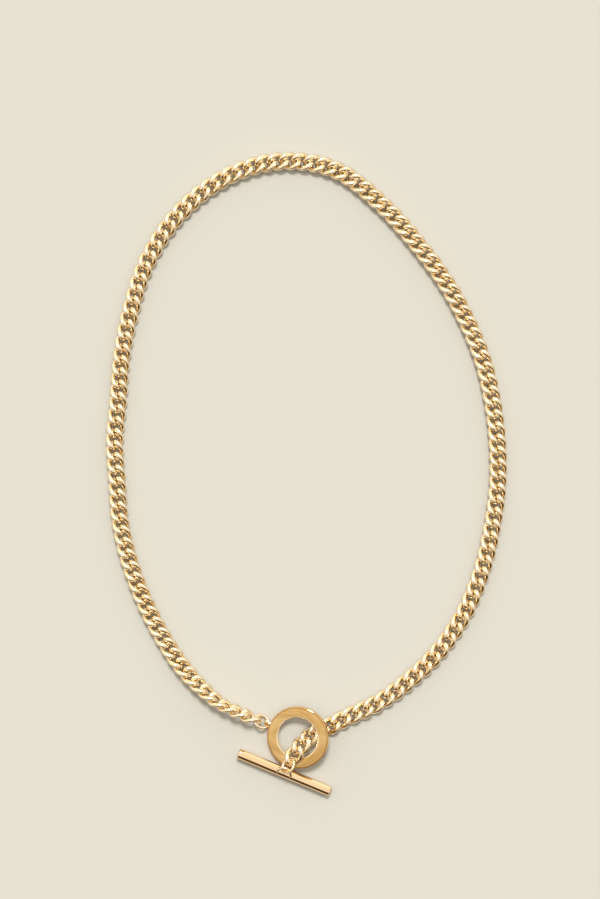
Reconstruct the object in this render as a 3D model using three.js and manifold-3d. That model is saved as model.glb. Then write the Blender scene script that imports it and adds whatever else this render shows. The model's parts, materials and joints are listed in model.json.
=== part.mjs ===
// Gold curb-chain necklace, fastened with a toggle clasp and laid flat on a table.
// Millimetres, +Z up. The origin is on the table under the middle of the loop,
// +X runs across the loop and +Y from the clasp to the far end of the loop.

import * as THREE from 'three';
import { ParametricGeometry } from 'three/addons/geometries/ParametricGeometry.js';
import { mergeVertices } from 'three/addons/utils/BufferGeometryUtils.js';
import Module from 'manifold-3d';

const wasm = await Module();
wasm.setup();

// ---- driving dimensions -------------------------------------------------------

// Curb chain: oval links of round wire, each twisted until its two ends nearly cross at right
// angles, so that the hooked links lie flat and overlap one another.
const LINK_COUNT = 122;
const WIRE_RADIUS = 0.6;
const LINK_HALF_WIDTH = 1.87;
const LINK_TWIST = THREE.MathUtils.degToRad(-50);
const CHAIN_HEIGHT = 1.4;
const LINK_STEPS = 12;
const WIRE_SIDES = 4;

// Inside a run the neighbouring links touch and make one solid; two runs only hook through
// each other. RUN_ENDS counts the links from the ring to the end of each run.
const TOUCH_BITE = 0.06;
const HOOK_CLEARANCE = 0.24;
const RUN_ENDS = [
  1, 2, 3, 4, 5, 6, 7,
  11, 15, 19, 22,
  26, 29, 32,
  35, 39, 43, 47, 51,
  54, 57, 60, 63,
  68, 72, 76, 81, 85,
  88, 91, 95,
  97, 101, 105, 109,
  113, 114, 115, 116, 117, 118, 119, 120, 121, 122,
];

// The chain stands on its edge beside the ring, and lies flat again within a few links.
const EDGE_ROLL = THREE.MathUtils.degToRad(72);
const LAST_EDGE_LINK = 3;
const FIRST_FLAT_LINK = 10;

// Toggle ring: a flat washer with broken edges, its right side lifted by the chain below it.
const RING_OUTER_RADIUS = 9.1;
const RING_INNER_RADIUS = 5.9;
const RING_THICKNESS = 1.7;
const RING_EDGE = 0.25;
const RING_STEPS = 48;
const RING_CENTRE = new THREE.Vector3(-2.3, -76.6, 3.0);
const RING_TILT = THREE.MathUtils.degToRad(13);
const RING_LIFTED_SIDE = THREE.MathUtils.degToRad(20);

// Toggle bar: a square bar with broken long edges, lying beside the ring.
const BAR_LENGTH = 28.9;
const BAR_SIDE = 3.0;
const BAR_EDGE = 0.6;
const BAR_CENTRE = new THREE.Vector3(-6.35, -86.95, BAR_SIDE / 2);
const BAR_TURN = THREE.MathUtils.degToRad(-22.5);

// Eyes and jump rings of thinner wire join the chain to the ring and to the bar.
const FINDING_WIRE_RADIUS = 0.38;
const FINDING_SIDES = 6;
const FINDING_STEPS = 16;
const JUMP_RING_HALF_WIDTH = 1.9;
const RING_JUMP_ROLL = THREE.MathUtils.degToRad(32);
const BAR_JUMP_ROLL = THREE.MathUtils.degToRad(56);

// The eyes are arcs of the same wire, soldered to the ring's rim and to the bar's top face. A foot
// angle is measured from the eye's middle, between its opening's middle and either foot.
const RING_EYE_RADIUS = 1.05;
const RING_EYE_STANDOFF = 0.5;
const RING_EYE_AZIMUTH = THREE.MathUtils.degToRad(157.6);
const RING_EYE_ROLL = THREE.MathUtils.degToRad(50);
const RING_EYE_FOOT_ANGLE = THREE.MathUtils.degToRad(72);
const BAR_EYE_RADIUS = 1.7;
const BAR_EYE_STANDOFF = 1.1;
const BAR_EYE_SETBACK = 0.25;
const BAR_EYE_LEAN = THREE.MathUtils.degToRad(30);
const BAR_EYE_FOOT_ANGLE = THREE.MathUtils.degToRad(50);
const EYE_STEPS = 10;

// The line that the chain's hooks follow, from the ring's jump ring round to the bar's jump ring.
const ROUTE = [
  [-14.4, -71.6, 2.3],
  [-18.3, -69.9, 2.45],
  [-24.8, -66.9, 2.3],
  [-31.5, -61.2, 1.95],
  [-37.2, -54.7, 1.5],
  [-45.4, -40.7, CHAIN_HEIGHT],
  [-50.9, -27.2, CHAIN_HEIGHT],
  [-54.1, -14.2, CHAIN_HEIGHT],
  [-55.1, -1.8, CHAIN_HEIGHT],
  [-55.8, 9.9, CHAIN_HEIGHT],
  [-54.7, 21.6, CHAIN_HEIGHT],
  [-53.8, 33.9, CHAIN_HEIGHT],
  [-51.2, 47.2, CHAIN_HEIGHT],
  [-46.5, 61.7, CHAIN_HEIGHT],
  [-37.6, 75.3, CHAIN_HEIGHT],
  [-24.5, 85.9, CHAIN_HEIGHT],
  [-8.4, 91.1, CHAIN_HEIGHT],
  [8.4, 88.8, CHAIN_HEIGHT],
  [22.4, 78.3, CHAIN_HEIGHT],
  [32.9, 66.6, CHAIN_HEIGHT],
  [41.1, 55.4, CHAIN_HEIGHT],
  [47.2, 44.1, CHAIN_HEIGHT],
  [51.7, 32.9, CHAIN_HEIGHT],
  [54.4, 21.4, CHAIN_HEIGHT],
  [55.8, 9.9, CHAIN_HEIGHT],
  [56.0, -2.0, CHAIN_HEIGHT],
  [54.5, -14.3, CHAIN_HEIGHT],
  [51.5, -27.4, CHAIN_HEIGHT],
  [45.9, -41.0, CHAIN_HEIGHT],
  [36.9, -53.7, CHAIN_HEIGHT],
  [24.3, -64.6, CHAIN_HEIGHT],
  [16.9, -68.8, CHAIN_HEIGHT],
  [11.5, -71.0, CHAIN_HEIGHT],
  [7.6, -73.3, CHAIN_HEIGHT],
  [3.2, -74.8, 1.65],
  [0.6, -76.7, 2.75],
  [-1.9, -79.3, 3.95],
  [-3.6, -81.7, 4.8],
  [-4.3, -83.2, 4.6],
];

// Puts the origin under the middle of the whole necklace's box.
const CENTRING = new THREE.Vector3(-0.17, 0.1, 0);

// How finely meshes are worked out: the angle across which a wire's direction is measured, and
// the distance within which two corners are one.
const TANGENT_ANGLE = 1e-4;
const WELD_DISTANCE = 1e-4;

// ---- materials ----------------------------------------------------------------

const gold = (colour, roughness) =>
  new THREE.MeshStandardMaterial({ color: colour, roughness, metalness: 1 });
const chainGold = gold(0xe0b060, 0.2);
const ringGold = gold(0xd2a35e, 0.15);
const barGold = gold(0xf0ce98, 0.15);

// ---- helpers ------------------------------------------------------------------

// A closed loop of wire round an oval. The end towards +X reaches endReach, the other backReach.
// The loop twists about its long axis by `twist` at the +X end and by -twist at the other end.
function wireLoop({ endReach, backReach, halfWidth, twist, radius, steps, sides }) {
  const centreLine = (angle) => {
    const along = Math.cos(angle) * (Math.cos(angle) > 0 ? endReach : backReach);
    const across = Math.sin(angle) * halfWidth;
    const turn = twist * Math.cos(angle);
    return new THREE.Vector3(along, across * Math.cos(turn), across * Math.sin(turn));
  };
  const surface = (u, v, target) => {
    const angle = 2 * Math.PI * u;
    const centre = centreLine(angle);
    const ahead = centreLine(angle + TANGENT_ANGLE);
    const tangent = ahead.sub(centreLine(angle - TANGENT_ANGLE)).normalize();
    const turn = twist * Math.cos(angle);
    const outward = new THREE.Vector3(
      Math.cos(angle),
      Math.sin(angle) * Math.cos(turn),
      Math.sin(angle) * Math.sin(turn)
    );
    outward.addScaledVector(tangent, -outward.dot(tangent)).normalize();
    const side = outward.clone().cross(tangent);
    const around = 2 * Math.PI * v;
    target.copy(centre);
    target.addScaledVector(outward, radius * Math.cos(around));
    target.addScaledVector(side, radius * Math.sin(around));
  };
  return new ParametricGeometry(surface, steps, sides);
}

// A matrix that puts a part's own +X along `along`, rolled by `roll` from lying flat.
function placement(position, along, roll) {
  const forward = along.clone().normalize();
  const sideways = new THREE.Vector3(0, 0, 1).cross(forward).normalize();
  const upward = forward.clone().cross(sideways);
  const turn = new THREE.Matrix4().makeBasis(forward, sideways, upward);
  const rolled = turn.multiply(new THREE.Matrix4().makeRotationX(roll));
  return new THREE.Matrix4().makeTranslation(position).multiply(rolled);
}

function bareGeometry(geometry) {
  const bare = geometry.index ? geometry.toNonIndexed() : geometry.clone();
  for (const name of Object.keys(bare.attributes)) {
    if (name !== 'position') bare.deleteAttribute(name);
  }
  return mergeVertices(bare, WELD_DISTANCE);
}

function toSolid(geometry) {
  const bare = bareGeometry(geometry);
  const vertProperties = new Float32Array(bare.attributes.position.array);
  const triVerts = new Uint32Array(bare.index.array);
  return new wasm.Manifold(new wasm.Mesh({ numProp: 3, vertProperties, triVerts }));
}

function toGeometry(solid) {
  const mesh = solid.getMesh();
  const geometry = new THREE.BufferGeometry();
  geometry.setAttribute('position', new THREE.BufferAttribute(mesh.vertProperties, 3));
  geometry.setIndex(new THREE.BufferAttribute(mesh.triVerts, 1));
  geometry.computeVertexNormals();
  return geometry;
}

function namedMesh(name, geometry, material) {
  const mesh = new THREE.Mesh(geometry, material);
  mesh.name = name;
  return mesh;
}

const necklace = new THREE.Group();
necklace.position.copy(CENTRING);

// ---- chain --------------------------------------------------------------------

const route = new THREE.CatmullRomCurve3(
  ROUTE.map(([x, y, z]) => new THREE.Vector3(x, y, z)), false, 'centripetal');
route.arcLengthDivisions = 4000;
const pitch = route.getLength() / LINK_COUNT;
const hook = (index) => route.getPointAt(index / LINK_COUNT);

const touchReach = (pitch + 2 * WIRE_RADIUS - TOUCH_BITE) / 2;
const hookReach = (pitch + 2 * WIRE_RADIUS + HOOK_CLEARANCE) / 2;

const edgeRoll = (link) => THREE.MathUtils.mapLinear(
  THREE.MathUtils.clamp(link, LAST_EDGE_LINK, FIRST_FLAT_LINK),
  LAST_EDGE_LINK, FIRST_FLAT_LINK, EDGE_ROLL, 0);

function chainLink(link, firstOfRun, lastOfRun) {
  const start = hook(link - 1);
  const end = hook(link);
  const geometry = wireLoop({
    endReach: link === lastOfRun ? hookReach : touchReach,
    backReach: link === firstOfRun ? hookReach : touchReach,
    halfWidth: LINK_HALF_WIDTH,
    twist: LINK_TWIST,
    radius: WIRE_RADIUS,
    steps: LINK_STEPS,
    sides: WIRE_SIDES,
  });
  const middle = start.clone().lerp(end, 0.5);
  return geometry.applyMatrix4(placement(middle, end.sub(start), edgeRoll(link)));
}

const linkNumber = (link) => String(link).padStart(3, '0');

let firstOfRun = 1;
for (const lastOfRun of RUN_ENDS) {
  let name = `link_${linkNumber(firstOfRun)}`;
  let geometry = chainLink(firstOfRun, firstOfRun, lastOfRun);
  if (lastOfRun > firstOfRun) {
    let solid = toSolid(geometry);
    for (let link = firstOfRun + 1; link <= lastOfRun; link += 1) {
      solid = solid.add(toSolid(chainLink(link, firstOfRun, lastOfRun)));
    }
    geometry = toGeometry(solid);
    name = `links_${linkNumber(firstOfRun)}_${linkNumber(lastOfRun)}`;
  }
  necklace.add(namedMesh(name, geometry, chainGold));
  firstOfRun = lastOfRun + 1;
}

// ---- findings: eyes and jump rings --------------------------------------------

const findingReach = FINDING_WIRE_RADIUS + HOOK_CLEARANCE / 2;

const findingLoop = (halfLength, halfWidth) => wireLoop({
  endReach: halfLength,
  backReach: halfLength,
  halfWidth,
  twist: 0,
  radius: FINDING_WIRE_RADIUS,
  steps: FINDING_STEPS,
  sides: FINDING_SIDES,
});

// An eye is an arc of wire round the side away from +X; its two feet point to +X.
function eye(radius, footAngle) {
  const arc = new THREE.Curve();
  const halfAngle = Math.PI - footAngle;
  arc.getPoint = (t, target = new THREE.Vector3()) => {
    const angle = Math.PI + (2 * t - 1) * halfAngle;
    return target.set(radius * Math.cos(angle), radius * Math.sin(angle), 0);
  };
  const section = new THREE.Shape();
  for (let side = 0; side < FINDING_SIDES; side += 1) {
    const around = 2 * Math.PI * side / FINDING_SIDES;
    const x = FINDING_WIRE_RADIUS * Math.cos(around);
    const y = FINDING_WIRE_RADIUS * Math.sin(around);
    if (side === 0) section.moveTo(x, y);
    else section.lineTo(x, y);
  }
  return new THREE.ExtrudeGeometry(section, { steps: EYE_STEPS, extrudePath: arc });
}

// A jump ring hooks two points together: it passes each by its own wire and half the clearance.
function jumpRing(name, from, to, roll) {
  const halfLength = from.distanceTo(to) / 2 + findingReach;
  const middle = from.clone().lerp(to, 0.5);
  const geometry = findingLoop(halfLength, JUMP_RING_HALF_WIDTH);
  geometry.applyMatrix4(placement(middle, to.clone().sub(from), roll));
  return namedMesh(name, geometry, chainGold);
}

// ---- toggle ring --------------------------------------------------------------

const ringGroup = new THREE.Group();
ringGroup.position.copy(RING_CENTRE);
const liftAxis = new THREE.Vector3(Math.sin(RING_LIFTED_SIDE), -Math.cos(RING_LIFTED_SIDE), 0);
ringGroup.quaternion.setFromAxisAngle(liftAxis, RING_TILT);

const ringHalf = RING_THICKNESS / 2;
const ringProfile = [
  [RING_INNER_RADIUS + RING_EDGE, -ringHalf],
  [RING_OUTER_RADIUS - RING_EDGE, -ringHalf],
  [RING_OUTER_RADIUS, -ringHalf + RING_EDGE],
  [RING_OUTER_RADIUS, ringHalf - RING_EDGE],
  [RING_OUTER_RADIUS - RING_EDGE, ringHalf],
  [RING_INNER_RADIUS + RING_EDGE, ringHalf],
  [RING_INNER_RADIUS, ringHalf - RING_EDGE],
  [RING_INNER_RADIUS, -ringHalf + RING_EDGE],
  [RING_INNER_RADIUS + RING_EDGE, -ringHalf],
].map(([radius, height]) => new THREE.Vector2(radius, height));
const washer = new THREE.LatheGeometry(ringProfile, RING_STEPS).rotateX(Math.PI / 2);
ringGroup.add(namedMesh('toggle_ring', bareGeometry(washer), ringGold));

const inwards = new THREE.Vector3(-Math.cos(RING_EYE_AZIMUTH), -Math.sin(RING_EYE_AZIMUTH), 0);
const ringEyeCentre = inwards.clone().multiplyScalar(-(RING_OUTER_RADIUS + RING_EYE_STANDOFF));
const ringEye = eye(RING_EYE_RADIUS, RING_EYE_FOOT_ANGLE);
ringEye.applyMatrix4(placement(ringEyeCentre, inwards, RING_EYE_ROLL));
ringGroup.add(namedMesh('ring_eye', ringEye, ringGold));
necklace.add(ringGroup);

ringGroup.updateMatrixWorld();
const ringEyeHook = ringEyeCentre.clone().addScaledVector(inwards, findingReach - RING_EYE_RADIUS);
ringGroup.localToWorld(ringEyeHook);
necklace.add(jumpRing('ring_jump_ring', ringEyeHook, hook(0), RING_JUMP_ROLL));

// ---- toggle bar ---------------------------------------------------------------

const barGroup = new THREE.Group();
barGroup.position.copy(BAR_CENTRE);
barGroup.rotation.z = BAR_TURN;

const barHalf = BAR_SIDE / 2;
const barFlat = barHalf - BAR_EDGE;
const barSection = new THREE.Shape([
  [barFlat, -barHalf], [barHalf, -barFlat], [barHalf, barFlat], [barFlat, barHalf],
  [-barFlat, barHalf], [-barHalf, barFlat], [-barHalf, -barFlat], [-barFlat, -barHalf],
].map(([across, height]) => new THREE.Vector2(across, height)));
const bar = new THREE.ExtrudeGeometry(barSection, { depth: BAR_LENGTH, bevelEnabled: false });
bar.translate(0, 0, -BAR_LENGTH / 2).rotateX(Math.PI / 2).rotateZ(Math.PI / 2);
barGroup.add(namedMesh('toggle_bar', bareGeometry(bar), barGold));

const intoBar = new THREE.Vector3(0, -Math.cos(BAR_EYE_LEAN), -Math.sin(BAR_EYE_LEAN));
const barEyeCentre = new THREE.Vector3(0, -BAR_EYE_SETBACK, barHalf + BAR_EYE_STANDOFF);
const barEye = eye(BAR_EYE_RADIUS, BAR_EYE_FOOT_ANGLE);
barEye.applyMatrix4(placement(barEyeCentre, intoBar, 0));
barGroup.add(namedMesh('bar_eye', barEye, barGold));
necklace.add(barGroup);

barGroup.updateMatrixWorld();
const barEyeHook = barEyeCentre.clone().addScaledVector(intoBar, findingReach - BAR_EYE_RADIUS);
barGroup.localToWorld(barEyeHook);
necklace.add(jumpRing('bar_jump_ring', hook(LINK_COUNT), barEyeHook, BAR_JUMP_ROLL));

export default necklace;
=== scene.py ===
# %% [markdown]
# # A gold curb-chain necklace with a bar-and-ring clasp
# The necklace lies in a long oval on a pale table. At the near end the chain's last links
# pass through the clasp's ring, and the clasp's bar lies across the ring and stops them.
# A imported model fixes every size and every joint. This notebook builds the fine surfaces
# around it: 122 wire links, the two clasp pieces, their eyes and the jump rings.
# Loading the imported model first, and moving nothing in it, means that each fine piece can
# ride on the body that it belongs to and still fit when the chain is folded.

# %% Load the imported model
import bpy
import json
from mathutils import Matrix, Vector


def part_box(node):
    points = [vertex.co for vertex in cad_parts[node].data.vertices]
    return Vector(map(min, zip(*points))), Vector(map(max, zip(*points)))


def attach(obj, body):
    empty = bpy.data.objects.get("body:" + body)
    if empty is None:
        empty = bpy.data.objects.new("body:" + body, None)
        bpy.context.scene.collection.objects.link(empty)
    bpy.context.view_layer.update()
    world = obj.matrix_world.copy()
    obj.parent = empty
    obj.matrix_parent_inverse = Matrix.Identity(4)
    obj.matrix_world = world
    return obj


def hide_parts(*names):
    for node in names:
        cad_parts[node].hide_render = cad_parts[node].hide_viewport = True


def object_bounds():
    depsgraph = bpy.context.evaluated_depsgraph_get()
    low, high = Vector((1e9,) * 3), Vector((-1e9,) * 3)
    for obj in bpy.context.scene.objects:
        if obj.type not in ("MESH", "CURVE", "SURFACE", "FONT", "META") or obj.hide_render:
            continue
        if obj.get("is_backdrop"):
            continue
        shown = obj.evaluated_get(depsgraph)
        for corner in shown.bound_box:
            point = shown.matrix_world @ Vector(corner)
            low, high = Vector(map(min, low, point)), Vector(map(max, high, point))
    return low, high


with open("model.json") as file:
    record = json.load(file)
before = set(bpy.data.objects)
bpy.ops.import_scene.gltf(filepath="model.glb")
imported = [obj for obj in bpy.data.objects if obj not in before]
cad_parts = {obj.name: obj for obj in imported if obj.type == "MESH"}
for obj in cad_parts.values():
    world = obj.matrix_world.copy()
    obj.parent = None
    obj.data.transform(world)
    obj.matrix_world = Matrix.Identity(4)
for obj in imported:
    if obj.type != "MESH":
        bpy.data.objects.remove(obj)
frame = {"nodes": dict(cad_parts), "record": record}
cad_box = [list(corner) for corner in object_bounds()]

import json
import math
import random

import bpy
import numpy as np
from mathutils import Matrix, Vector

MM = 0.001

# %% [markdown]
# ## The table, the light and the camera
# Polished gold shows little but what stands round it, so the light is as much a part of the
# finish as the colour is. A row of lamps could do it, but their light fades with distance
# and leaves the table uneven. A sky that is bright on the far side and dim on the near side
# gives each wire one pale flank and one dark one, with no fading at all, and a dim band low
# over the table's edge draws the thin brown lines between neighbouring wires.
# A broad sun from the far side adds the short soft shadow on the near side of the chain.
# The plain 'Standard' view keeps the table as pale as it is set.

# %% The table
TABLE_SIZE = 6.0
TABLE_COLOUR = (0.455, 0.437, 0.384, 1.0)

scene = bpy.context.scene
scene.view_settings.view_transform = "Standard"

table_mesh = bpy.data.meshes.new("table_top")
half_table = TABLE_SIZE / 2
table_mesh.from_pydata(
    [(-half_table, -half_table, 0), (half_table, -half_table, 0),
     (half_table, half_table, 0), (-half_table, half_table, 0)],
    [], [(0, 1, 2, 3)])
table = bpy.data.objects.new("table_top", table_mesh)
scene.collection.objects.link(table)
table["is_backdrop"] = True

paper = bpy.data.materials.new("pale_table_paper")
paper.use_nodes = True
paper_shader = paper.node_tree.nodes["Principled BSDF"]
paper_shader.inputs["Base Color"].default_value = TABLE_COLOUR
paper_shader.inputs["Roughness"].default_value = 0.9
paper_shader.inputs["Specular IOR Level"].default_value = 0.1
table_mesh.materials.append(paper)
print("table:", TABLE_SIZE, "m square")

# %% The sun
SUN_STRENGTH = 3.0
SUN_WIDTH = math.radians(15)
SUN_HEIGHT = math.radians(60)

sun_data = bpy.data.lights.new("broad_sun", "SUN")
sun_data.energy = SUN_STRENGTH
sun_data.angle = SUN_WIDTH
sun = bpy.data.objects.new("broad_sun", sun_data)
scene.collection.objects.link(sun)
sun.rotation_euler = (-(math.pi / 2 - SUN_HEIGHT), 0, 0)
print("sun:", round(math.degrees(SUN_HEIGHT)), "degrees up on the far side")

# %% Two helpers for nodes
def node(tree, kind, label, **values):
    """A new node, with its input sockets set by name."""
    made = tree.nodes.new(kind)
    made.label = label
    for name, value in values.items():
        made.inputs[name.replace("_", " ")].default_value = value
    return made


def link(tree, source, output, target, socket):
    """A link from one node's output to another's input."""
    tree.links.new(source.outputs[output], target.inputs[socket])


# %% The sky's colours
# By direction: from the near side (-Y), a dim warm room, to the far side (+Y).
SKY_STEPS = [
    (0.00, (0.04, 0.022, 0.010)),
    (0.10, (0.08, 0.05, 0.025)),
    (0.17, (0.50, 0.43, 0.33)),
    (0.33, (0.84, 0.78, 0.68)),
    (0.43, (1.02, 0.99, 0.94)),
    (0.50, (1.04, 1.02, 0.98)),
    (0.75, (1.25, 1.23, 1.18)),
    (1.00, (1.30, 1.28, 1.23)),
]

world = bpy.data.worlds.new("studio")
scene.world = world
world.use_nodes = True
sky = world.node_tree
sky.nodes.clear()
direction = node(sky, "ShaderNodeTexCoord", "direction looked in")
parts = node(sky, "ShaderNodeSeparateXYZ", "its three parts")
near_to_far = node(sky, "ShaderNodeMapRange", "near to far", From_Min=-1.0, From_Max=1.0)
ramp = node(sky, "ShaderNodeValToRGB", "the sky's colours")
ramp.color_ramp.interpolation = "EASE"
while len(ramp.color_ramp.elements) < len(SKY_STEPS):
    ramp.color_ramp.elements.new(0.5)
for element, (place, colour) in zip(ramp.color_ramp.elements, SKY_STEPS):
    element.position = place
    element.color = (*colour, 1.0)
link(sky, direction, "Generated", parts, "Vector")
link(sky, parts, "Y", near_to_far, "Value")
link(sky, near_to_far, "Result", ramp, "Fac")
print("sky:", len(SKY_STEPS), "colours from near to far")

# %% The dim band
# It lies low over the table's edge all round, but not on the far side.
BAND_COLOUR = (0.26, 0.16, 0.08, 1.0)
BAND_FOOT = 0.05
BAND_TOP = 0.27
GAP_START = 0.55
GAP_FULL = 0.85

above_band = node(sky, "ShaderNodeMapRange", "above the band",
                  From_Min=BAND_FOOT, From_Max=BAND_TOP)
far_gap = node(sky, "ShaderNodeMapRange", "gap on the far side",
               From_Min=GAP_START, From_Max=GAP_FULL)
clear_sky = node(sky, "ShaderNodeMath", "clear of the band")
clear_sky.operation = "MAXIMUM"
banded = node(sky, "ShaderNodeMix", "sky with its band")
banded.data_type = "RGBA"
banded.inputs[6].default_value = BAND_COLOUR
backdrop = node(sky, "ShaderNodeBackground", "backdrop")
sky_out = node(sky, "ShaderNodeOutputWorld", "world")
link(sky, parts, "Z", above_band, "Value")
link(sky, parts, "Y", far_gap, "Value")
sky.links.new(above_band.outputs["Result"], clear_sky.inputs[0])
sky.links.new(far_gap.outputs["Result"], clear_sky.inputs[1])
sky.links.new(clear_sky.outputs[0], banded.inputs[0])
sky.links.new(ramp.outputs["Color"], banded.inputs[7])
sky.links.new(banded.outputs[2], backdrop.inputs["Color"])
link(sky, backdrop, "Background", sky_out, "Surface")
print("band: gone by", round(math.degrees(math.asin(BAND_TOP))), "degrees up")

# %% The camera
VIEW_HEIGHT = 262.1 * MM
VIEW_CENTRE = Vector((-1.90, 7.24, 1.4)) * MM
LENS = 100
SENSOR = 36

camera_data = bpy.data.cameras.new("camera")
camera_data.lens = LENS
camera_data.sensor_width = SENSOR
camera = bpy.data.objects.new("camera", camera_data)
scene.collection.objects.link(camera)
camera.location = VIEW_CENTRE + Vector((0, 0, VIEW_HEIGHT * LENS / SENSOR))
scene.camera = camera
print("camera height:", round(camera.location.z, 3), "m")

# %% [markdown]
# ## Finishes
# Gold plate is one metal in three polishes here. The chain is tumbled until it is bright
# all over, the ring's flat faces carry faint arcs from the polishing wheel, and the bar has
# been drawn lengthwise over a fine mop. Each could be a picture wrapped round the piece, but
# a picture needs seams and blurs close up. Noise worked out in the piece's own space has
# neither. Two effects are used by all three golds, so each is a node group that is built
# once: the slow drift of the plating's colour, and the marks that polishing leaves, which
# are fine hairlines and, many times wider, the shallow waves that the soft mop presses in.

# %% A helper for node groups
def group_with(name, inputs, outputs):
    """An empty node group with its sockets, and its input and output nodes."""
    group = bpy.data.node_groups.new(name, "ShaderNodeTree")
    for label, kind, value in inputs:
        socket = group.interface.new_socket(name=label, in_out="INPUT", socket_type=kind)
        if value is not None:
            socket.default_value = value
    for label, kind in outputs:
        group.interface.new_socket(name=label, in_out="OUTPUT", socket_type=kind)
    return group, group.nodes.new("NodeGroupInput"), group.nodes.new("NodeGroupOutput")


# %% The drift of the plating's colour
PLATING_INPUTS = [
    ("Place", "NodeSocketVector", None),
    ("Thick Plate", "NodeSocketColor", (0.9, 0.6, 0.25, 1.0)),
    ("Thin Plate", "NodeSocketColor", (0.95, 0.7, 0.4, 1.0)),
    ("Patch Scale", "NodeSocketFloat", 300.0),
]
plating, plating_in, plating_out = group_with(
    "plating_drift", PLATING_INPUTS,
    [("Color", "NodeSocketColor"), ("Thin Mask", "NodeSocketFloat")])
patches = node(plating, "ShaderNodeTexNoise", "slow patches", Detail=4.0, Roughness=0.55)
patch_edges = node(plating, "ShaderNodeMapRange", "patch edges", From_Min=0.32, From_Max=0.72)
plate_mix = plating.nodes.new("ShaderNodeMix")
plate_mix.data_type = "RGBA"
link(plating, plating_in, "Place", patches, "Vector")
link(plating, plating_in, "Patch Scale", patches, "Scale")
link(plating, patches, "Fac", patch_edges, "Value")
link(plating, patch_edges, "Result", plating_out, "Thin Mask")
plating.links.new(patch_edges.outputs["Result"], plate_mix.inputs[0])
plating.links.new(plating_in.outputs["Thick Plate"], plate_mix.inputs[6])
plating.links.new(plating_in.outputs["Thin Plate"], plate_mix.inputs[7])
plating.links.new(plate_mix.outputs[2], plating_out.inputs["Color"])
print("group:", plating.name, "with", len(PLATING_INPUTS), "inputs")

# %% The marks that polishing leaves
POLISH_INPUTS = [
    ("Place", "NodeSocketVector", None),
    ("Wave Place", "NodeSocketVector", None),
    ("Wave Scale", "NodeSocketFloat", 250.0),
    ("Wave Share", "NodeSocketFloat", 10.0),
    ("Mark Scale", "NodeSocketFloat", 4000.0),
    ("Smoothest", "NodeSocketFloat", 0.10),
    ("Roughest", "NodeSocketFloat", 0.24),
]
polish, polish_in, polish_out = group_with(
    "polishing_marks", POLISH_INPUTS,
    [("Roughness", "NodeSocketFloat"), ("Height", "NodeSocketFloat")])
hairlines = node(polish, "ShaderNodeTexNoise", "hairlines", Detail=6.0, Roughness=0.7)
smears = node(polish, "ShaderNodeTexNoise", "fingered smears", Scale=420.0, Detail=3.0, Roughness=0.5)
waves = node(polish, "ShaderNodeTexNoise", "waves left by the mop", Detail=2.0, Roughness=0.4)
raised = polish.nodes.new("ShaderNodeMath")
raised.operation = "MULTIPLY_ADD"
both = polish.nodes.new("ShaderNodeMath")
both.operation = "MULTIPLY"
spread = node(polish, "ShaderNodeMapRange", "roughness spread", From_Min=0.12, From_Max=0.42)
link(polish, polish_in, "Place", hairlines, "Vector")
link(polish, polish_in, "Mark Scale", hairlines, "Scale")
link(polish, polish_in, "Place", smears, "Vector")
polish.links.new(hairlines.outputs["Fac"], both.inputs[0])
polish.links.new(smears.outputs["Fac"], both.inputs[1])
polish.links.new(both.outputs[0], spread.inputs["Value"])
link(polish, polish_in, "Smoothest", spread, "To Min")
link(polish, polish_in, "Roughest", spread, "To Max")
link(polish, spread, "Result", polish_out, "Roughness")
link(polish, polish_in, "Wave Place", waves, "Vector")
link(polish, polish_in, "Wave Scale", waves, "Scale")
polish.links.new(waves.outputs["Fac"], raised.inputs[0])
polish.links.new(polish_in.outputs["Wave Share"], raised.inputs[1])
polish.links.new(hairlines.outputs["Fac"], raised.inputs[2])
link(polish, raised, "Value", polish_out, "Height")
print("group:", polish.name, "with", len(POLISH_INPUTS), "inputs")


# %% The body that every gold shares
def gold(name, thick, thin, patch_scale, mark_scale, smoothest, roughest, mark_depth, waves):
    """A plated gold: its two colours, the size of its patches and marks, and its polish."""
    material = bpy.data.materials.new(name)
    material.use_nodes = True
    tree = material.node_tree
    shader = tree.nodes["Principled BSDF"]
    shader.inputs["Metallic"].default_value = 1.0
    place = node(tree, "ShaderNodeTexCoord", "the piece's own space")
    colour = tree.nodes.new("ShaderNodeGroup")
    colour.node_tree = plating
    colour.inputs["Thick Plate"].default_value = (*thick, 1.0)
    colour.inputs["Thin Plate"].default_value = (*thin, 1.0)
    colour.inputs["Patch Scale"].default_value = patch_scale
    marks = tree.nodes.new("ShaderNodeGroup")
    marks.node_tree = polish
    marks.inputs["Mark Scale"].default_value = mark_scale
    marks.inputs["Smoothest"].default_value = smoothest
    marks.inputs["Roughest"].default_value = roughest
    marks.inputs["Wave Scale"].default_value = waves[0]
    marks.inputs["Wave Share"].default_value = waves[1]
    bump = node(tree, "ShaderNodeBump", "marks raised", Strength=1.0, Distance=mark_depth)
    link(tree, place, "Object", colour, "Place")
    link(tree, place, "Object", marks, "Place")
    link(tree, place, "Object", marks, "Wave Place")
    link(tree, colour, "Color", shader, "Base Color")
    link(tree, marks, "Roughness", shader, "Roughness")
    link(tree, marks, "Height", bump, "Height")
    link(tree, bump, "Normal", shader, "Normal")
    return material, tree, place, marks


# %% Chain gold
chain_gold, *_ = gold(
    "chain_gold", thick=(0.95, 0.75, 0.47), thin=(0.98, 0.84, 0.62), patch_scale=260.0,
    mark_scale=3500.0, smoothest=0.08, roughest=0.18, mark_depth=0.000004, waves=(1300.0, 8.0))
print("made", chain_gold.name)

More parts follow.
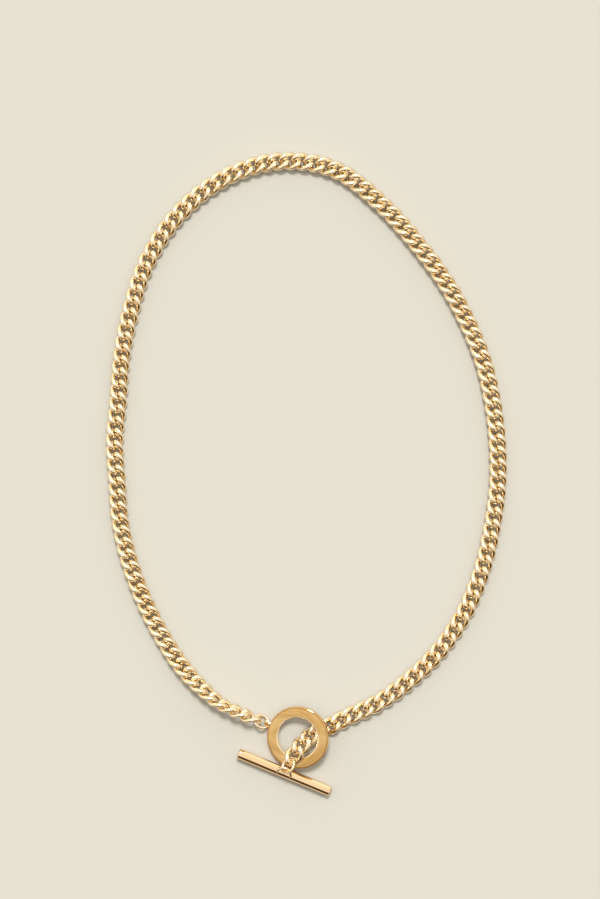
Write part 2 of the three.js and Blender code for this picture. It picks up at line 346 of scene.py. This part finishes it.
# %% [markdown]
# ### Ring gold and bar gold
# The wheel turned with the ring and ran along the bar, so their marks have a direction.
# Stretching the noise gives that: round the ring's middle the noise reads the distance from
# the centre and hardly anything else, and along the bar it is drawn out lengthwise.
# The ring also has a dark line painted just inside its outer edge: painted shade, a dark
# reflection of the dim room that a narrow edge facet would show. A groove in the mesh would be
# too deep for it, so it is colour alone, and so is the pale line round the hole: a painted
# highlight for the bright sky that the hole's edge would catch.

# %% Ring gold
RING_TILT = math.radians(13)
RING_LIFTED_SIDE = math.radians(20)

ring_low, ring_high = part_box("toggle_ring")
ring_centre = (ring_low + ring_high) / 2
lift_axis = Vector((math.sin(RING_LIFTED_SIDE), -math.cos(RING_LIFTED_SIDE), 0))
ring_place = Matrix.Translation(ring_centre) @ Matrix.Rotation(RING_TILT, 4, lift_axis)

# The ring's plate colours are set darker and redder than the chain's, as painted shade for the dim
# room that the ring's faces reflect.
ring_gold, ring_tree, ring_coords, ring_marks = gold(
    "clasp_gold", thick=(0.71, 0.42, 0.13), thin=(0.86, 0.60, 0.29), patch_scale=120.0,
    mark_scale=1500.0, smoothest=0.06, roughest=0.13, mark_depth=0.000004, waves=(330.0, 95.0))
from_centre = node(ring_tree, "ShaderNodeVectorMath", "from the ring's middle")
from_centre.operation = "SUBTRACT"
from_centre.inputs[1].default_value = ring_centre
centre_distance = ring_tree.nodes.new("ShaderNodeVectorMath")
centre_distance.operation = "LENGTH"
round_marks = node(ring_tree, "ShaderNodeCombineXYZ", "marks run round")
ring_tree.links.new(ring_coords.outputs["Object"], from_centre.inputs[0])
ring_tree.links.new(from_centre.outputs["Vector"], centre_distance.inputs[0])
ring_tree.links.new(centre_distance.outputs["Value"], round_marks.inputs["X"])


MARK_SLIP = 0.06
WAVE_SLIP = 0.45


def wheel_place(slip_share, socket):
    """Noise that reads the distance from the middle, plus a share of the plain place."""
    slip = ring_tree.nodes.new("ShaderNodeVectorMath")
    slip.operation = "SCALE"
    slip.inputs["Scale"].default_value = slip_share
    total = ring_tree.nodes.new("ShaderNodeVectorMath")
    total.operation = "ADD"
    ring_tree.links.new(from_centre.outputs["Vector"], slip.inputs[0])
    ring_tree.links.new(round_marks.outputs["Vector"], total.inputs[0])
    ring_tree.links.new(slip.outputs["Vector"], total.inputs[1])
    ring_tree.links.new(total.outputs["Vector"], ring_marks.inputs[socket])


wheel_place(MARK_SLIP, "Place")
wheel_place(WAVE_SLIP, "Wave Place")
print("made", ring_gold.name)

# %% Painted shade and a painted highlight round the ring's edges
# The rim line is painted shade: a dark brown reflection of the dim room, painted into the colour in
# place of an edge facet.
PAINTED_RIM_SHADE_START = 8.62 * MM
PAINTED_RIM_SHADE_END = 8.92 * MM
PAINTED_RIM_SHADE_COLOUR = (0.36, 0.17, 0.045, 1.0)
PAINTED_RIM_SHADE_STRENGTH = 0.7
# The hole line is a painted highlight: a pale band where the hole's edge would catch the bright sky.
PAINTED_HOLE_HIGHLIGHT_START = 0.0
PAINTED_HOLE_HIGHLIGHT_END = 6.30 * MM
PAINTED_HOLE_HIGHLIGHT_COLOUR = (1.0, 0.92, 0.72, 1.0)
PAINTED_HOLE_HIGHLIGHT_STRENGTH = 0.65
PAINTED_LINE_FADE = 0.1 * MM


def painted_ring_line(colour_under, start, end, colour, strength):
    """The colour that lies under, with a painted line of another colour between two distances."""
    rising = node(ring_tree, "ShaderNodeMapRange", "inner side of the line",
                  From_Min=start, From_Max=start + PAINTED_LINE_FADE, To_Max=strength)
    falling = node(ring_tree, "ShaderNodeMapRange", "outer side of the line",
                   From_Min=end, From_Max=end + PAINTED_LINE_FADE, To_Min=1.0, To_Max=0.0)
    painted_line_mask = ring_tree.nodes.new("ShaderNodeMath")
    painted_line_mask.operation = "MULTIPLY"
    with_painted_line = ring_tree.nodes.new("ShaderNodeMix")
    with_painted_line.data_type = "RGBA"
    with_painted_line.inputs[7].default_value = colour
    ring_tree.links.new(centre_distance.outputs["Value"], rising.inputs["Value"])
    ring_tree.links.new(centre_distance.outputs["Value"], falling.inputs["Value"])
    ring_tree.links.new(rising.outputs["Result"], painted_line_mask.inputs[0])
    ring_tree.links.new(falling.outputs["Result"], painted_line_mask.inputs[1])
    ring_tree.links.new(painted_line_mask.outputs[0], with_painted_line.inputs[0])
    ring_tree.links.new(colour_under, with_painted_line.inputs[6])
    return with_painted_line.outputs[2]


# Two painted lines go over the ring's colour: painted shade at the rim and a painted highlight round
# the hole.
ring_shader = ring_tree.nodes["Principled BSDF"]
plain_colour = ring_shader.inputs["Base Color"].links[0].from_socket
rim_shade_painted = painted_ring_line(plain_colour, PAINTED_RIM_SHADE_START, PAINTED_RIM_SHADE_END,
                      PAINTED_RIM_SHADE_COLOUR, PAINTED_RIM_SHADE_STRENGTH)
shade_and_highlight_painted = painted_ring_line(rim_shade_painted, PAINTED_HOLE_HIGHLIGHT_START, PAINTED_HOLE_HIGHLIGHT_END,
                       PAINTED_HOLE_HIGHLIGHT_COLOUR, PAINTED_HOLE_HIGHLIGHT_STRENGTH)
ring_tree.links.new(shade_and_highlight_painted, ring_shader.inputs["Base Color"])
print("ring lines end at", PAINTED_RIM_SHADE_END / MM, "and", PAINTED_HOLE_HIGHLIGHT_END / MM, "mm")

# %% Bar gold
BAR_TURN = math.radians(-22.5)
DRAWN_OUT = (0.05, 1.0, 1.0)

bar_gold, bar_tree, bar_coords, bar_marks = gold(
    "bar_gold", thick=(0.90, 0.63, 0.35), thin=(0.93, 0.70, 0.45), patch_scale=90.0,
    mark_scale=5000.0, smoothest=0.05, roughest=0.11, mark_depth=0.000003, waves=(200.0, 12.0))
along_bar = node(bar_tree, "ShaderNodeMapping", "drawn out along the bar")
along_bar.vector_type = "TEXTURE"
along_bar.inputs["Rotation"].default_value = (0, 0, BAR_TURN)
along_bar.inputs["Scale"].default_value = [1 / share for share in DRAWN_OUT]
bar_tree.links.new(bar_coords.outputs["Object"], along_bar.inputs["Vector"])
bar_tree.links.new(along_bar.outputs["Vector"], bar_marks.inputs["Place"])
bar_tree.links.new(along_bar.outputs["Vector"], bar_marks.inputs["Wave Place"])
print("made", bar_gold.name)

# %% [markdown]
# ## Two ways of making a mesh
# Everything here is either wire or a section carried along or round something. A curve
# object with a bevel would make wire in one step, but it turns its section as it likes, and
# a twisted link needs the section to follow the twist. So both makers work straight from
# points: each lays rings of points along a line and joins each ring to the next.


# %% Rings of points to a mesh
def joined_rings(rings, closed):
    """Faces between rings of equal size. An open row of rings gets a cap at each end."""
    count = len(rings[0])
    faces = []
    spans = len(rings) if closed else len(rings) - 1
    for span in range(spans):
        here = span * count
        there = (span + 1) % len(rings) * count
        for corner in range(count):
            following = (corner + 1) % count
            faces.append((here + corner, here + following, there + following, there + corner))
    if not closed:
        faces.append(tuple(reversed(range(count))))
        faces.append(tuple(range((len(rings) - 1) * count, len(rings) * count)))
    return [point for ring in rings for point in ring], faces


def add_piece(name, points, faces, place, material, body, nodes):
    """A finished piece in metres, riding on its body and standing for its CAD nodes."""
    mesh = bpy.data.meshes.new(name)
    mesh.from_pydata([place @ Vector(point) for point in points], [], faces)
    mesh.shade_smooth()
    mesh.materials.append(material)
    piece = bpy.data.objects.new(name, mesh)
    scene.collection.objects.link(piece)
    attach(piece, body)
    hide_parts(*nodes)
    return piece


# %% Round wire
def wire(centres, outwards, radii, sides, closed, flatness=1.0):
    """Wire along a line of centres. Each section starts from its outward direction.

    The flatness is the section's other half-width as a share of the outward one.
    """
    rings = []
    count = len(centres)
    for index, centre in enumerate(centres):
        before = centres[index - 1] if closed or index > 0 else centre
        after = centres[(index + 1) % count] if closed or index < count - 1 else centre
        tangent = (after - before).normalized()
        outward = outwards[index] - tangent * outwards[index].dot(tangent)
        outward.normalize()
        side = tangent.cross(outward)
        rings.append([
            centre + radii[index] * (outward * math.cos(turn) + side * flatness * math.sin(turn))
            for turn in (2 * math.pi * step / sides for step in range(sides))])
    return joined_rings(rings, closed)


# %% [markdown]
# ## The line of the chain
# The chain's hooks, the points where two links hold each other, lie at equal steps along
# one smooth line. The line is a curve through the same listed points that shape the
# packed chain, so the fine links fall where the imported links are. A simulation could drop
# the chain instead, but it would never land in quite the same loop.

# %% The line's points, in millimetres
CHAIN_HEIGHT = 1.4
LINK_COUNT = 122
CENTRING = Vector((-0.17, 0.1, 0))
ROUTE = [
    (-14.4, -71.6, 2.3),
    (-18.3, -69.9, 2.45),
    (-24.8, -66.9, 2.3),
    (-31.5, -61.2, 1.95),
    (-37.2, -54.7, 1.5),
    (-45.4, -40.7, CHAIN_HEIGHT),
    (-50.9, -27.2, CHAIN_HEIGHT),
    (-54.1, -14.2, CHAIN_HEIGHT),
    (-55.1, -1.8, CHAIN_HEIGHT),
    (-55.8, 9.9, CHAIN_HEIGHT),
    (-54.7, 21.6, CHAIN_HEIGHT),
    (-53.8, 33.9, CHAIN_HEIGHT),
    (-51.2, 47.2, CHAIN_HEIGHT),
    (-46.5, 61.7, CHAIN_HEIGHT),
    (-37.6, 75.3, CHAIN_HEIGHT),
    (-24.5, 85.9, CHAIN_HEIGHT),
    (-8.4, 91.1, CHAIN_HEIGHT),
    (8.4, 88.8, CHAIN_HEIGHT),
    (22.4, 78.3, CHAIN_HEIGHT),
    (32.9, 66.6, CHAIN_HEIGHT),
    (41.1, 55.4, CHAIN_HEIGHT),
    (47.2, 44.1, CHAIN_HEIGHT),
    (51.7, 32.9, CHAIN_HEIGHT),
    (54.4, 21.4, CHAIN_HEIGHT),
    (55.8, 9.9, CHAIN_HEIGHT),
    (56.0, -2.0, CHAIN_HEIGHT),
    (54.5, -14.3, CHAIN_HEIGHT),
    (51.5, -27.4, CHAIN_HEIGHT),
    (45.9, -41.0, CHAIN_HEIGHT),
    (36.9, -53.7, CHAIN_HEIGHT),
    (24.3, -64.6, CHAIN_HEIGHT),
    (16.9, -68.8, CHAIN_HEIGHT),
    (11.5, -71.0, CHAIN_HEIGHT),
    (7.6, -73.3, CHAIN_HEIGHT),
    (3.2, -74.8, 1.65),
    (0.6, -76.7, 2.75),
    (-1.9, -79.3, 3.95),
    (-3.6, -81.7, 4.8),
    (-4.3, -83.2, 4.6),
]


# %% A smooth curve through the points
def span_curve(p0, p1, p2, p3):
    """The centripetal Catmull-Rom cubic from p1 to p2, as a function of 0 to 1."""
    d0, d1, d2 = (math.sqrt((b - a).length) for a, b in ((p0, p1), (p1, p2), (p2, p3)))
    start = ((p1 - p0) / d0 - (p2 - p0) / (d0 + d1) + (p2 - p1) / d1) * d1
    end = ((p2 - p1) / d1 - (p3 - p1) / (d1 + d2) + (p3 - p2) / d2) * d1
    square = -3 * p1 + 3 * p2 - 2 * start - end
    cube = 2 * p1 - 2 * p2 + start + end
    return lambda t: p1 + start * t + square * t ** 2 + cube * t ** 3


def even_points(points, count, fineness=100):
    """count + 1 points at equal distances along the curve through the points."""
    ends = [2 * points[0] - points[1], *points, 2 * points[-1] - points[-2]]
    fine = [points[0]]
    for index in range(len(points) - 1):
        curve = span_curve(*ends[index:index + 4])
        fine.extend(curve((step + 1) / fineness) for step in range(fineness))
    lengths = np.cumsum([0.0] + [(b - a).length for a, b in zip(fine, fine[1:])])
    wanted = np.linspace(0, lengths[-1], count + 1)
    table_of = np.array(fine)
    return [Vector([np.interp(at, lengths, table_of[:, axis]) for axis in range(3)])
            for at in wanted], lengths[-1]


hooks, chain_length = even_points([Vector(point) + CENTRING for point in ROUTE], LINK_COUNT)
pitch = chain_length / LINK_COUNT
print(f"chain {chain_length:.1f} mm, one link each {pitch:.3f} mm")

# %% [markdown]
# ## The links
# A curb link is an oval of wire, gripped at its two ends and twisted until the ends nearly
# cross. That twist lets the links lie flat, each leaning on the next. An oval could be bent
# with a twist modifier, but the formula is just as short and keeps the wire's section: the
# oval's point at an angle is turned about the link's long axis by the cosine of that angle,
# full one way at one end and full the other way at the other.
# The wire is pressed a little flat and the oval is a little square, so the links fill the
# chain's width and still leave each other room to swing.
# The links beside the ring stand on edge, and roll down flat over the next few.
# Each link also gets its solder seam, a hair-fine groove across the wire on one flank.

# %% One link's wire
WIRE_RADIUS = 0.74
WIRE_FLATNESS = 0.82
LINK_HALF_WIDTH = 1.94
LINK_TWIST = math.radians(-54)
LINK_FULLNESS = 0.04
HOOK_DISTANCE = 1.78
LINK_STEPS = 56
WIRE_SIDES = 16
SEAM_ANGLE = math.radians(262)
SEAM_WIDTH = math.radians(1.6)
SEAM_DEPTH = 0.07
SEAM_SHARPNESS = 1.6
SEAM_POINTS = (-1.5, -0.6, 0, 0.6, 1.5)
SEAM_CLEARANCE = 2.2

link_reach = (pitch + HOOK_DISTANCE) / 2


def link_angles():
    """Even steps round the link, with extra ones at the seam."""
    even = [2 * math.pi * step / LINK_STEPS for step in range(LINK_STEPS)]
    near_seam = [SEAM_ANGLE + SEAM_WIDTH * share for share in SEAM_POINTS]
    clear = [angle for angle in even if abs(angle - SEAM_ANGLE) > SEAM_CLEARANCE * SEAM_WIDTH]
    return sorted(clear + near_seam)


def link_wire():
    """The points and faces of one link, lying along X about the origin."""
    centres, outwards, radii = [], [], []
    for angle in link_angles():
        turn = LINK_TWIST * math.cos(angle)
        out = (math.sin(angle) + LINK_FULLNESS * math.sin(3 * angle)) / (1 - LINK_FULLNESS)
        across = Vector((0, out * math.cos(turn), out * math.sin(turn)))
        along = Vector((math.cos(angle), 0, 0))
        centres.append(along * link_reach + across * LINK_HALF_WIDTH)
        outwards.append(along + across)
        groove = math.exp(-((angle - SEAM_ANGLE) / SEAM_WIDTH * SEAM_SHARPNESS) ** 2)
        radii.append(WIRE_RADIUS * (1 - SEAM_DEPTH * groove))
    return wire(centres, outwards, radii, WIRE_SIDES, True, WIRE_FLATNESS)


link_points, link_faces = link_wire()
print("one link:", len(link_points), "points")

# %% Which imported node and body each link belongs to
body_of_node = {
    name: body
    for body, names in frame["record"]["behaviour"]["bodies"].items()
    for name in names}
node_of_link = {}
for name in frame["nodes"]:
    if name.startswith("link"):
        numbers = [int(word) for word in name.split("_")[1:]]
        for number in range(numbers[0], numbers[-1] + 1):
            node_of_link[number] = name
print("links placed on", len(set(node_of_link.values())), "packed runs")

# %% All the links
EDGE_ROLL = math.radians(72)
LAST_EDGE_LINK = 3
FIRST_FLAT_LINK = 10
ROLL_SCATTER = math.radians(1.0)
SCATTER_SEED = 7
LINK_LIFT = Vector((0, 0, 0.17))


def laid(middle, along, roll):
    """A matrix that puts a part's own +X along a direction, rolled from lying flat."""
    forward = along.normalized()
    sideways = Vector((0, 0, 1)).cross(forward).normalized()
    turn = Matrix((forward, sideways, forward.cross(sideways))).transposed().to_4x4()
    return Matrix.Translation(middle) @ turn @ Matrix.Rotation(roll, 4, "X")


def edge_roll(number):
    share = (FIRST_FLAT_LINK - number) / (FIRST_FLAT_LINK - LAST_EDGE_LINK)
    return EDGE_ROLL * min(max(share, 0), 1)


to_metres = Matrix.Scale(MM, 4)
scatter = random.Random(SCATTER_SEED)
for number in range(1, LINK_COUNT + 1):
    start, end = hooks[number - 1], hooks[number]
    roll = edge_roll(number) + scatter.uniform(-ROLL_SCATTER, ROLL_SCATTER)
    place = to_metres @ laid((start + end) / 2 + LINK_LIFT, end - start, roll)
    node_name = node_of_link[number]
    add_piece(f"curb_link_{number:03d}", link_points, link_faces, place, chain_gold,
              body_of_node[node_name], [node_name])
print("made", LINK_COUNT, "links")

# %% [markdown]
# ## The ring and the bar
# Both are cut from bar stock and their edges are broken, so no corner is sharp. The ring's
# edges are rounded. Each long edge of the bar is filed to two narrow facets, and it is the
# upper of these that draws the dark line along the bar's near side.
# A bevel modifier would round them, but it leaves the roundness to the mesh's angles.
# Here a section with true arcs at its corners is carried round the ring's axis, and
# another along the bar and in over its ends. The bar lies rolled a few degrees, as one
# with a loose jump ring does, so that its near side shows.


# %% A section with rounded corners
def rounded(corners, radii, steps):
    """A convex outline, anticlockwise, with an arc at each corner, each of its own radius."""
    outline = []
    for index, corner in enumerate(corners):
        into = (Vector(corner) - Vector(corners[index - 1])).normalized()
        out = (Vector(corners[(index + 1) % len(corners)]) - Vector(corner)).normalized()
        half_turn = into.angle(out) / 2
        radius = radii[index]
        setback = radius * math.tan(half_turn)
        centre = Vector(corner) - into * setback + Vector((-into.y, into.x)) * radius
        first = math.atan2(-into.x, into.y)
        for step in range(steps + 1):
            angle = first + 2 * half_turn * step / steps
            outline.append(centre + radius * Vector((math.cos(angle), math.sin(angle))))
    return outline


# %% The ring
RING_OUTER_RADIUS = 9.1
RING_INNER_RADIUS = 5.9
RING_THICKNESS = 1.7
RING_EDGE = 0.24
RING_EDGE_STEPS = 6
RING_STEPS = 160
RING_FACE_CROWN = 0.03

half_ring = RING_THICKNESS / 2
ring_section = rounded(
    [(RING_INNER_RADIUS, -half_ring), (RING_OUTER_RADIUS, -half_ring),
     (RING_OUTER_RADIUS, half_ring), (RING_INNER_RADIUS, half_ring)],
    4 * [RING_EDGE], RING_EDGE_STEPS)
face_middle = (RING_INNER_RADIUS + RING_OUTER_RADIUS) / 2
face_half = (RING_OUTER_RADIUS - RING_INNER_RADIUS) / 2


def dished(point):
    """The wheel takes a little more off towards the face's edges."""
    share = (point.x - face_middle) / face_half
    return Vector((point.x, point.y * (1 - RING_FACE_CROWN * share ** 2)))


SECTION_STEP = 0.3


def filled_in(outline, step):
    """The outline with extra points wherever two neighbours are further apart than a step."""
    filled = []
    for point, following in zip(outline, outline[1:] + outline[:1]):
        pieces = max(1, math.ceil((following - point).length / step))
        filled.extend(point.lerp(following, part / pieces) for part in range(pieces))
    return filled


ring_section = [dished(point) for point in filled_in(ring_section, SECTION_STEP)]
ring_rings = []
for step in range(RING_STEPS):
    turn = 2 * math.pi * step / RING_STEPS
    radial = Vector((math.cos(turn), math.sin(turn), 0))
    ring_rings.append([radial * point.x + Vector((0, 0, point.y)) for point in reversed(ring_section)])
ring_points, ring_faces = joined_rings(ring_rings, closed=True)
add_piece("polished_ring", ring_points, ring_faces, ring_place @ to_metres, ring_gold,
          body_of_node["toggle_ring"], ["toggle_ring"])
print("ring:", len(ring_points), "points")

# %% The bar
BAR_LENGTH = 28.9
BAR_SIDE = 3.0
BAR_TOP_FLAT = 0.60
BAR_FACET_EDGE = (1.20, 1.06)
BAR_SIDE_FLAT = 0.52
BAR_CORNER_RADII = (0.12, 0.12, 0.40)
BAR_EDGE_STEPS = 5
BAR_END = 0.35
BAR_ROLL = math.radians(-8)
BAR_LIFT = 0.07
BAR_END_STEPS = 5
BAR_END_SHARE = 0.9
BAR_CAP_SHARES = (0.02, 0.4)
BAR_STEPS = 60

bar_low, bar_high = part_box("toggle_bar")
bar_place = Matrix.Translation((bar_low + bar_high) / 2) @ Matrix.Rotation(BAR_TURN, 4, "Z")
half_bar = BAR_SIDE / 2
quarter = [(half_bar, BAR_SIDE_FLAT), BAR_FACET_EDGE, (BAR_TOP_FLAT, half_bar)]
mirrored_quarter = [(-across, up) for across, up in reversed(quarter)]
upper_half = quarter + mirrored_quarter
lower_half = [(-across, -up) for across, up in upper_half]
half_radii = [*BAR_CORNER_RADII, *reversed(BAR_CORNER_RADII)]
bar_outline = rounded(upper_half + lower_half, half_radii * 2, BAR_EDGE_STEPS)
bar_section = filled_in(bar_outline, SECTION_STEP)


def bar_stations():
    """Pairs of place along the bar and share of the full section."""
    half = BAR_LENGTH / 2
    turned_in = []
    for step in range(BAR_END_STEPS + 1):
        angle = math.pi / 2 * step / BAR_END_STEPS
        turned_in.append((half - BAR_END * (1 - math.cos(angle)) * BAR_END_SHARE,
                          1 - BAR_END * (1 - math.sin(angle)) / half_bar))
    turned_in = [*((half, share) for share in BAR_CAP_SHARES), *turned_in]
    straight = [half - BAR_END - (BAR_LENGTH - 2 * BAR_END) * step / BAR_STEPS
                for step in range(1, BAR_STEPS)]
    left = [(-place, share) for place, share in turned_in]
    return left + [(-place, 1.0) for place in straight] + turned_in[::-1]


bar_rings = [
    [Vector((place, point.x * share, point.y * share)) for point in bar_section]
    for place, share in bar_stations()]
bar_points, bar_faces = joined_rings(bar_rings, closed=False)
rolled = Matrix.Translation((0, 0, BAR_LIFT)) @ Matrix.Rotation(BAR_ROLL, 4, "X")
add_piece("polished_bar", bar_points, bar_faces, bar_place @ to_metres @ rolled, bar_gold,
          body_of_node["toggle_bar"], ["toggle_bar"])
print("bar:", len(bar_points), "points")

# %% [markdown]
# ## The findings: eyes and jump rings
# An eye is an arc of thinner wire whose two feet are soldered to the ring's rim or to the
# bar's top. A torus cut in half would do for the arc but not for its legs, so one line of
# centres runs through both. Its feet are run on into the piece and swell there, as solder
# does when it wicks up the wire. A jump ring is an oval of the same wire, closed only by
# butting its ends together, so it is made as an open length of wire with a hair's gap
# between two slightly rounded ends.

# %% Findings wire
FINDING_WIRE_RADIUS = 0.40
FINDING_SIDES = 14
EYE_STEPS = 40
LEG_STEPS = 6
SOLDER_SWELL = 0.35
HOOK_CLEARANCE = 0.20
finding_reach = FINDING_WIRE_RADIUS + HOOK_CLEARANCE / 2


def eye_wire(radius, foot_angle, legs):
    """An arc round the side away from +X, run on down its legs to swollen feet.

    Each leg is the list of points that the wire passes through after the arc, for the
    foot on the +Y side. The other foot is its mirror image.
    """
    half_angle = math.pi - foot_angle
    arc = []
    for step in range(EYE_STEPS + 1):
        angle = math.pi + (2 * step / EYE_STEPS - 1) * half_angle
        arc.append(Vector((math.cos(angle), math.sin(angle), 0)) * radius)
    leg = [arc[0], *(Vector(point) for point in legs)]
    curve_ends = [arc[1], *leg, 2 * leg[-1] - leg[-2]]
    foot = []
    for index in range(len(leg) - 1):
        curve = span_curve(*curve_ends[index:index + 4])
        foot.extend(curve((step + 1) / LEG_STEPS) for step in range(LEG_STEPS))
    mirrored = [Vector((point.x, -point.y, point.z)) for point in foot]
    centres = foot[::-1] + arc + mirrored
    outwards = [Vector((point.x, point.y, 0)) for point in centres]
    radii = []
    for index in range(len(centres)):
        left_over = min(index, len(centres) - 1 - index) / len(foot)
        swell = SOLDER_SWELL * max(0, 1 - left_over) ** 3
        radii.append(FINDING_WIRE_RADIUS * (1 + swell))
    return wire(centres, outwards, radii, FINDING_SIDES, closed=False)


# %% The ring's eye
RING_EYE_RADIUS = 1.05
RING_EYE_STANDOFF = 0.5
RING_EYE_AZIMUTH = math.radians(157.6)
RING_EYE_ROLL = math.radians(50)
RING_EYE_FOOT_ANGLE = math.radians(72)
RING_EYE_LEG = [(0.62, 0.98, 0), (0.9, 0.96, 0)]

inwards = Vector((-math.cos(RING_EYE_AZIMUTH), -math.sin(RING_EYE_AZIMUTH), 0))
ring_eye_centre = -inwards * (RING_OUTER_RADIUS + RING_EYE_STANDOFF)
points, faces = eye_wire(RING_EYE_RADIUS, RING_EYE_FOOT_ANGLE, RING_EYE_LEG)
add_piece("soldered_ring_eye", points, faces,
          ring_place @ to_metres @ laid(ring_eye_centre, inwards, RING_EYE_ROLL),
          chain_gold, body_of_node["ring_eye"], ["ring_eye"])

# %% The bar's eye
# Its arc leans over the bar, and its legs bend down into the bar's flat top.
BAR_EYE_RADIUS = 2.0
BAR_EYE_STANDOFF = 0.95
BAR_EYE_SETBACK = 0.1
BAR_EYE_LEAN = math.radians(30)
BAR_EYE_FOOT_ANGLE = math.radians(90)
BAR_EYE_SPLAY = 0.1

into_bar = Vector((0, -math.cos(BAR_EYE_LEAN), -math.sin(BAR_EYE_LEAN)))
bar_eye_centre = Vector((0, -BAR_EYE_SETBACK, half_bar + BAR_EYE_STANDOFF))
bar_eye_place = laid(bar_eye_centre, into_bar, 0)
straight_down = bar_eye_place.to_3x3().inverted() @ Vector((0, 0, -1))
bar_eye_side = Vector((0, BAR_EYE_RADIUS, 0))
bar_eye_leg = [
    bar_eye_side + Vector((0.06, BAR_EYE_SPLAY / 2, 0)) + straight_down * 0.25,
    bar_eye_side + Vector((-0.12, BAR_EYE_SPLAY, 0)) + straight_down * 0.7,
    bar_eye_side + Vector((-0.30, BAR_EYE_SPLAY, 0)) + straight_down * 1.4]
points, faces = eye_wire(BAR_EYE_RADIUS, BAR_EYE_FOOT_ANGLE, bar_eye_leg)
add_piece("soldered_bar_eye", points, faces, bar_place @ to_metres @ bar_eye_place,
          chain_gold, body_of_node["bar_eye"], ["bar_eye"])

# %% The jump rings
JUMP_RING_HALF_WIDTH = 1.95
RING_JUMP_ROLL = math.radians(32)
BAR_JUMP_ROLL = math.radians(44)
BAR_JUMP_SLACK = 0.3
JUMP_STEPS = 72
JUMP_GAP = math.radians(1.2)
JUMP_SEAM_ANGLE = math.radians(118)
JUMP_EASED_END = 0.86


def jump_ring_wire(half_length):
    """An oval of wire cut once: open, with its two ends eased and almost touching."""
    centres, outwards, radii = [], [], []
    for step in range(JUMP_STEPS + 1):
        angle = JUMP_SEAM_ANGLE + JUMP_GAP / 2 + (2 * math.pi - JUMP_GAP) * step / JUMP_STEPS
        spoke = Vector((math.cos(angle), math.sin(angle), 0))
        centres.append(Vector((spoke.x * half_length, spoke.y * JUMP_RING_HALF_WIDTH, 0)))
        outwards.append(spoke)
        eased = step in (0, JUMP_STEPS)
        radii.append(FINDING_WIRE_RADIUS * (JUMP_EASED_END if eased else 1.0))
    return wire(centres, outwards, radii, FINDING_SIDES, closed=False)


def add_jump_ring(name, start, end, roll, packed_node):
    half_length = (end - start).length / 2 + finding_reach
    points, faces = jump_ring_wire(half_length)
    add_piece(name, points, faces, to_metres @ laid((start + end) / 2, end - start, roll),
              chain_gold, body_of_node[packed_node], [packed_node])


ring_eye_hook = ring_eye_centre + inwards * (finding_reach - RING_EYE_RADIUS)
bar_eye_hook = bar_eye_centre + into_bar * (finding_reach - BAR_EYE_RADIUS)
add_jump_ring("jump_ring_at_ring", (ring_place @ (ring_eye_hook * MM)) / MM, hooks[0],
              RING_JUMP_ROLL, "ring_jump_ring")
bar_hook = (bar_place @ (bar_eye_hook * MM)) / MM
bar_hook += (bar_hook - hooks[-1]).normalized() * BAR_JUMP_SLACK
add_jump_ring("jump_ring_at_bar", hooks[-1], bar_hook, BAR_JUMP_ROLL, "bar_jump_ring")
print("made the eyes and the jump rings")

# %% [markdown]
# ## Measure and finish
# The fine model has to keep to the imported one's size, so both boxes are printed side
# by side.

# %% Print the two boxes and finish
visual_box = [list(corner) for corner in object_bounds()]
for label, box in (("packed", cad_box), ("fine", visual_box)):
    print(label, [[round(value / MM, 2) for value in corner] for corner in box])
